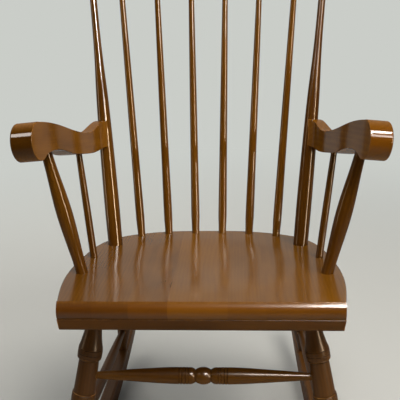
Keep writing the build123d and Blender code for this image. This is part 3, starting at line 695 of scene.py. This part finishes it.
own_place = add(
    spindle_tree, "GeometryNodeStoreNamedAttribute",
    {"Geometry": result(lathe), "Name": "grain",
     "Value": result(add(spindle_tree, "GeometryNodeInputPosition"))},
    data_type="FLOAT_VECTOR", domain="POINT",
)
aimed = add(
    spindle_tree, "FunctionNodeAlignRotationToVector", {"Vector": reach}, axis="Z", pivot_axis="AUTO"
)
stretch = at(1.0, 1.0, chain("DIVIDE", reach_length, nominal))
standing = add(
    spindle_tree, "GeometryNodeInstanceOnPoints",
    {"Points": result(feet), "Instance": result(own_place), "Rotation": result(aimed),
     "Scale": stretch},
)
nearest, furthest = PITH_REACH
most_sideways = 0.05
blank = add(
    spindle_tree, "FunctionNodeRandomValue",
    {"Min": (0.0, nearest, 0.0), "Max": (LOG_LENGTH, furthest, most_sideways), "Seed": 5},
    data_type="FLOAT_VECTOR",
)
own_blank = add(
    spindle_tree, "GeometryNodeStoreNamedAttribute",
    {"Geometry": result(standing), "Name": "blank", "Value": result(blank)},
    data_type="FLOAT_VECTOR", domain="INSTANCE",
)
on_seat = add(
    spindle_tree, "GeometryNodeTransform",
    {"Geometry": result(own_blank), "Translation": SEAT_FRONT, "Rotation": (-SEAT_SLOPE, 0, 0)},
)
made_real = add(spindle_tree, "GeometryNodeRealizeInstances", {"Geometry": result(on_seat)})
stained = add(
    spindle_tree, "GeometryNodeSetMaterial", {"Geometry": result(made_real), "Material": given["Stain"]}
)
add(spindle_tree, "NodeGroupOutput", {"Geometry": result(stained)})
print(len(spindle_tree.nodes), "nodes in the tree")

# %% Stain for the spindles
spindle_stain = new_material("lacquered_hardwood_spindles")
stain_tree = spindle_stain.node_tree
stain_place = add(stain_tree, "ShaderNodeTexCoord")
own_grain = add(stain_tree, "ShaderNodeAttribute", attribute_name="grain").outputs["Vector"]
own_shift = add(stain_tree, "ShaderNodeAttribute", attribute_name="blank").outputs["Vector"]
shifted = result(add(stain_tree, "ShaderNodeVectorMath", {0: own_grain, 1: own_shift}, operation="ADD"))
upright = add(stain_tree, "ShaderNodeMapping", {"Vector": shifted, "Rotation": (0, math.pi / 2, 0)})
mean_lean = (0, 0.2, 0.98)
dressed(spindle_stain, stain_place, result(upright), mean_lean, ROUND_BAR, tone=0.09)
print("spindles' stain is ready")

# %% Turn the spindles
holder = bpy.data.objects.new("spindle_holder", bpy.data.meshes.new("spindle_holder"))
scene.collection.objects.link(holder)
modifier = holder.modifiers.new("fanned_spindles", "NODES")
modifier.node_group = spindle_tree
for item in spindle_tree.interface.items_tree:
    if item.in_out == "INPUT":
        if item.name == "Stain":
            modifier[item.identifier] = spindle_stain
        else:
            size = SPINDLE_SIZES[item.name]
            modifier[item.identifier] = size if item.name == "Count" else size * MM
evaluated = holder.evaluated_get(bpy.context.evaluated_depsgraph_get())
spindle_mesh = bpy.data.meshes.new_from_object(evaluated)
bpy.data.objects.remove(holder)
spindle_mesh.name = "turned_spindles"
spindle_mesh.shade_smooth()
spindles = bpy.data.objects.new("turned_spindles", spindle_mesh)
scene.collection.objects.link(spindles)
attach(spindles, "root")
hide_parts(*(f"spindle_{number}" for number in range(1, 7)))
print(len(spindle_mesh.vertices), "points in", SPINDLE_SIZES["Count"], "spindles")

# %% [markdown]
# ## Crest rail
# The crest rail is one board, bent under steam, so its fibres run round the curve. Its grain
# coordinates are therefore measured round an arc: along the bend, out from the centre of the
# bend, and up the board. The lacquer on it is the same as on the spindles.

# %% Bent grain for the crest rail
rail_lean = SEAT_SLOPE + CREST_LEAN
rail_back = SPINDLE_SIZES["Seat Apex"] + SPINDLE_SIZES["Lean"]
rail_middle = Vector((0, rail_back, SPINDLE_SIZES["Rise"])) * MM
rail_origin = SEAT_FRONT + Matrix.Rotation(-SEAT_SLOPE, 3, "X") @ rail_middle
bend_radius = SPINDLE_SIZES["Crest Arc"] * MM
upright_turn = Matrix.Rotation(rail_lean, 3, "X")
bend_centre = upright_turn @ rail_origin - Vector((0, bend_radius, 0))

rail_stain = new_material("lacquered_bent_hardwood_crest_rail")
rail_tree = rail_stain.node_tree
rail_place = add(rail_tree, "ShaderNodeTexCoord")
from_bend = add(
    rail_tree, "ShaderNodeMapping",
    {"Vector": rail_place.outputs["Object"], "Rotation": (rail_lean, 0, 0), "Location": -bend_centre},
)
flat = add(rail_tree, "ShaderNodeSeparateXYZ", {"Vector": result(from_bend)}).outputs
angle = add(rail_tree, "ShaderNodeMath", {0: flat["X"], 1: flat["Y"]}, operation="ARCTAN2")
round_bend = add(rail_tree, "ShaderNodeMath", {0: result(angle), 1: bend_radius}, operation="MULTIPLY")
in_plan = add(rail_tree, "ShaderNodeCombineXYZ", {"X": flat["X"], "Y": flat["Y"]})
out_from_bend = add(rail_tree, "ShaderNodeVectorMath", {0: result(in_plan)}, operation="LENGTH")
bent = add(
    rail_tree, "ShaderNodeCombineXYZ",
    {"X": result(round_bend), "Y": out_from_bend.outputs["Value"], "Z": flat["Z"]},
)
pith = Vector((0, -bend_radius, 0)) + pith_place(47, (0.05, 0.08))
bent_grain = add(rail_tree, "ShaderNodeMapping", {"Vector": result(bent), "Location": pith})
dressed(rail_stain, rail_place, result(bent_grain), (1, 0, 0), CHESTNUT, tone=0.02)
nodes["crest_rail"].material_slots[0].material = rail_stain
print("the rail is bent to a radius of", round(bend_radius / MM), "mm")

# %% [markdown]
# ## Posts, arms and their supports
# The back posts and the supports under the arms are turned from squares, with the fibres
# along them. The arms are sawn from a board on edge and shaped, so their fibres run from the
# scroll to the back, and the front of the scroll is end grain, which drinks the most stain.
# The two arms are cut from two boards. The right scroll's end is painted lighter than the
# left's: partly its board, and partly painted light where the light falls on the right. The
# right back post has lost some of its gloss.

# %% Dress the posts and arms
# painted light: the right scroll's end grain is lighter where the light falls, the left's darker
lit_and_unlit_scroll_ends = {"left": "#3c2204", "right": "#653a08"}
post_looks = {"left": (CHESTNUT, -0.06), "right": (SATIN_CHESTNUT, -0.16)}
for side_number, side in enumerate(("left", "right")):
    post_finish, post_tone = post_looks[side]
    wood_for(f"back_post_{side}", post_finish, 51 + side_number, tone=post_tone)
    wood_for(f"arm_post_{side}", SATIN_CHESTNUT, 61 + side_number)
    wood_for(f"arm_spindle_{side}", SATIN_CHESTNUT, 71 + side_number, tone=-0.1)
    arm_look = {**ARM_STAIN, "end": lit_and_unlit_scroll_ends[side]}
    wood_for(f"arm_{side}", arm_look, 81 + side_number, reach=(0.06, 0.12))
print("posts, arms and supports are dressed")

# %% [markdown]
# ## Legs, stretchers and rockers
# Below the seat the wood is a darker brown, which is painted shade, for the shade the seat
# casts over these pieces. The grooves of the turnings are painted dark, partly stain and
# partly painted shade, and that draws each ring. The front stretcher is as light as the
# spindles, and duller.

# %% Dress what is under the seat
for side_number, side in enumerate(("left", "right")):
    wood_for(f"front_leg_{side}", SHADED_UMBER, 91 + side_number, tone=0.05 * side_number)
    wood_for(f"rear_leg_{side}", SHADED_UMBER, 101 + side_number)
    wood_for(f"side_stretcher_{side}", SHADED_UMBER, 111 + side_number)
    wood_for(f"rocker_{side}", SHADED_UMBER, 121 + side_number, reach=(0.05, 0.1), tone=0.04)
wood_for("front_stretcher", DULL_CHESTNUT, 131, tone=0.12)
wood_for("rear_stretcher", SHADED_UMBER, 132)
print("legs, stretchers and rockers are dressed")

# %% [markdown]
# ## Pins, plugs and screws
# A pin across the rocker holds the foot of each leg. Its grain is laid upwards, across the
# pin, so its ends are as light as the rocker's side. Each arm is screwed to its back post,
# and a face-grain plug covers the screw's head. The screws are steel with bright zinc
# plating, which is a metal of middling roughness with a faint mottling, some 2 mm across,
# from the plating bath.

# %% Dress the fasteners
NEAR_PITH = (0.02, 0.04)
ZINC_MOTTLE = 2 * MM
ZINC_DARK = "#a9aaa6"
ZINC_LIGHT = "#c6c7c4"
wood_for("rocker_pins", SHADED_UMBER, 141, along=(0, 0, 1), reach=NEAR_PITH)
wood_for("arm_plugs", ARM_STAIN, 142, along=(0, 1, 0), reach=NEAR_PITH)
zinc = new_material("zinc_plated_steel_screws")
zinc_tree = zinc.node_tree
zinc_place = add(zinc_tree, "ShaderNodeTexCoord").outputs["Object"]
mottle = add(
    zinc_tree, "ShaderNodeTexNoise", {"Vector": zinc_place, "Scale": 1 / ZINC_MOTTLE, "Detail": 2.0}
).outputs["Fac"]
zinc_bump = add(zinc_tree, "ShaderNodeBump", {"Height": mottle, "Strength": 0.2, "Distance": 0.05 * MM})
zinc_colour = mix(zinc_tree, mottle, linear(ZINC_DARK), linear(ZINC_LIGHT))
zinc_shader = add(
    zinc_tree, "ShaderNodeBsdfPrincipled",
    {"Base Color": zinc_colour, "Metallic": 1.0, "Roughness": 0.38, "Normal": result(zinc_bump)},
)
add(zinc_tree, "ShaderNodeOutputMaterial", {"Surface": result(zinc_shader)})
nodes["arm_screws"].material_slots[0].material = zinc
print("pins, plugs and screws are dressed")
